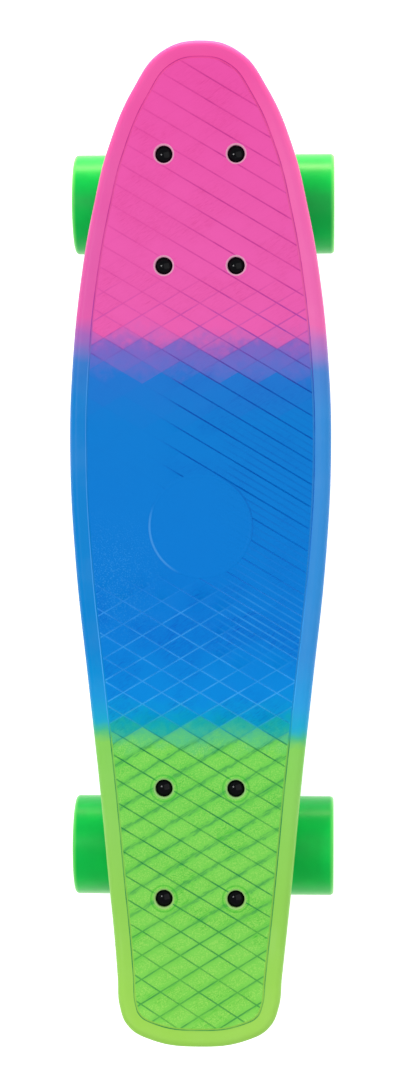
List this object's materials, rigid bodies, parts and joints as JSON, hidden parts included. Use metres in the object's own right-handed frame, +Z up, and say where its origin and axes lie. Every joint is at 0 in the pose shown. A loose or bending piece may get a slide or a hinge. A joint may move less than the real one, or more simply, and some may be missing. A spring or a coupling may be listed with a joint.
{
  "type": "skateboard",
  "caption": "Short plastic cruiser skateboard with a ribbed moulded deck, kicked tail, cast trucks on urethane bushings and soft green wheels on ball bearings.",
  "frame": {"origin": "on the floor, midway along and across the board", "axes": "+Y to the nose, +Z up from the floor, +X to the rider's right when facing the nose"},
  "size_m": [0.1536, 0.572, 0.1128],
  "materials": {
    "deck_plastic": "moulded plastic, satin grained field and smoother rim, coloured pink at the nose, blue in the middle and green at the tail",
    "wheel_urethane": "smooth cast urethane, saturated green",
    "bushing_urethane": "cast urethane, satin",
    "cast_aluminium": "die cast, fine grained",
    "black_steel": "black oxide, satin",
    "zinc_steel": "bright zinc plate",
    "bearing_steel": "polished steel",
    "pivot_plastic": "dark moulded plastic"
  },
  "bodies": {
    "deck": {"deck": "deck_plastic", "front_deck_bolt_1": "black_steel", "front_deck_bolt_2": "black_steel", "front_deck_bolt_3": "black_steel", "front_deck_bolt_4": "black_steel", "front_deck_nut_1": "zinc_steel", "front_deck_nut_2": "zinc_steel", "front_deck_nut_3": "zinc_steel", "front_deck_nut_4": "zinc_steel", "rear_deck_bolt_1": "black_steel", "rear_deck_bolt_2": "black_steel", "rear_deck_bolt_3": "black_steel", "rear_deck_bolt_4": "black_steel", "rear_deck_nut_1": "zinc_steel", "rear_deck_nut_2": "zinc_steel", "rear_deck_nut_3": "zinc_steel", "rear_deck_nut_4": "zinc_steel", "front_baseplate": "cast_aluminium", "front_kingpin": "zinc_steel", "front_kingpin_nut": "zinc_steel", "front_board_bushing": "bushing_urethane", "front_road_bushing": "bushing_urethane", "front_road_washer": "zinc_steel", "front_pivot_cup": "pivot_plastic", "rear_baseplate": "cast_aluminium", "rear_kingpin": "zinc_steel", "rear_kingpin_nut": "zinc_steel", "rear_board_bushing": "bushing_urethane", "rear_road_bushing": "bushing_urethane", "rear_road_washer": "zinc_steel", "rear_pivot_cup": "pivot_plastic"},
    "front_hanger": {"front_hanger": "cast_aluminium", "front_axle": "zinc_steel", "front_left_inner_washer": "zinc_steel", "front_left_outer_washer": "zinc_steel", "front_left_axle_nut": "zinc_steel", "front_right_inner_washer": "zinc_steel", "front_right_outer_washer": "zinc_steel", "front_right_axle_nut": "zinc_steel"},
    "rear_hanger": {"rear_hanger": "cast_aluminium", "rear_axle": "zinc_steel", "rear_left_inner_washer": "zinc_steel", "rear_left_outer_washer": "zinc_steel", "rear_left_axle_nut": "zinc_steel", "rear_right_inner_washer": "zinc_steel", "rear_right_outer_washer": "zinc_steel", "rear_right_axle_nut": "zinc_steel"},
    "front_left_wheel": {"front_left_wheel": "wheel_urethane", "front_left_inner_bearing": "bearing_steel", "front_left_outer_bearing": "bearing_steel"},
    "front_right_wheel": {"front_right_wheel": "wheel_urethane", "front_right_inner_bearing": "bearing_steel", "front_right_outer_bearing": "bearing_steel"},
    "rear_left_wheel": {"rear_left_wheel": "wheel_urethane", "rear_left_inner_bearing": "bearing_steel", "rear_left_outer_bearing": "bearing_steel"},
    "rear_right_wheel": {"rear_right_wheel": "wheel_urethane", "rear_right_inner_bearing": "bearing_steel", "rear_right_outer_bearing": "bearing_steel"}
  },
  "joints": [
    {"name": "front_steer", "type": "hinge", "parent": "deck", "child": "front_hanger", "pos_m": [0, 0.17785, 0.04432], "axis": [0, 0.8762, 0.4819], "range_deg": [-15, 15], "stiffness_Nm_per_rad": 25, "deforming": ["front_board_bushing", "front_road_bushing"]},
    {"name": "rear_steer", "type": "hinge", "parent": "deck", "child": "rear_hanger", "pos_m": [0, -0.16085, 0.04432], "axis": [0, -0.8762, 0.4819], "range_deg": [-15, 15], "stiffness_Nm_per_rad": 25, "deforming": ["rear_board_bushing", "rear_road_bushing"]},
    {"name": "front_left_roll", "type": "hinge", "parent": "front_hanger", "child": "front_left_wheel", "pos_m": [-0.055, 0.19925, 0.02932], "axis": [1, 0, 0], "continuous": true},
    {"name": "front_right_roll", "type": "hinge", "parent": "front_hanger", "child": "front_right_wheel", "pos_m": [0.055, 0.19925, 0.02932], "axis": [1, 0, 0], "continuous": true},
    {"name": "rear_left_roll", "type": "hinge", "parent": "rear_hanger", "child": "rear_left_wheel", "pos_m": [-0.055, -0.18225, 0.02932], "axis": [1, 0, 0], "continuous": true},
    {"name": "rear_right_roll", "type": "hinge", "parent": "rear_hanger", "child": "rear_right_wheel", "pos_m": [0.055, -0.18225, 0.02932], "axis": [1, 0, 0], "continuous": true}
  ]
}
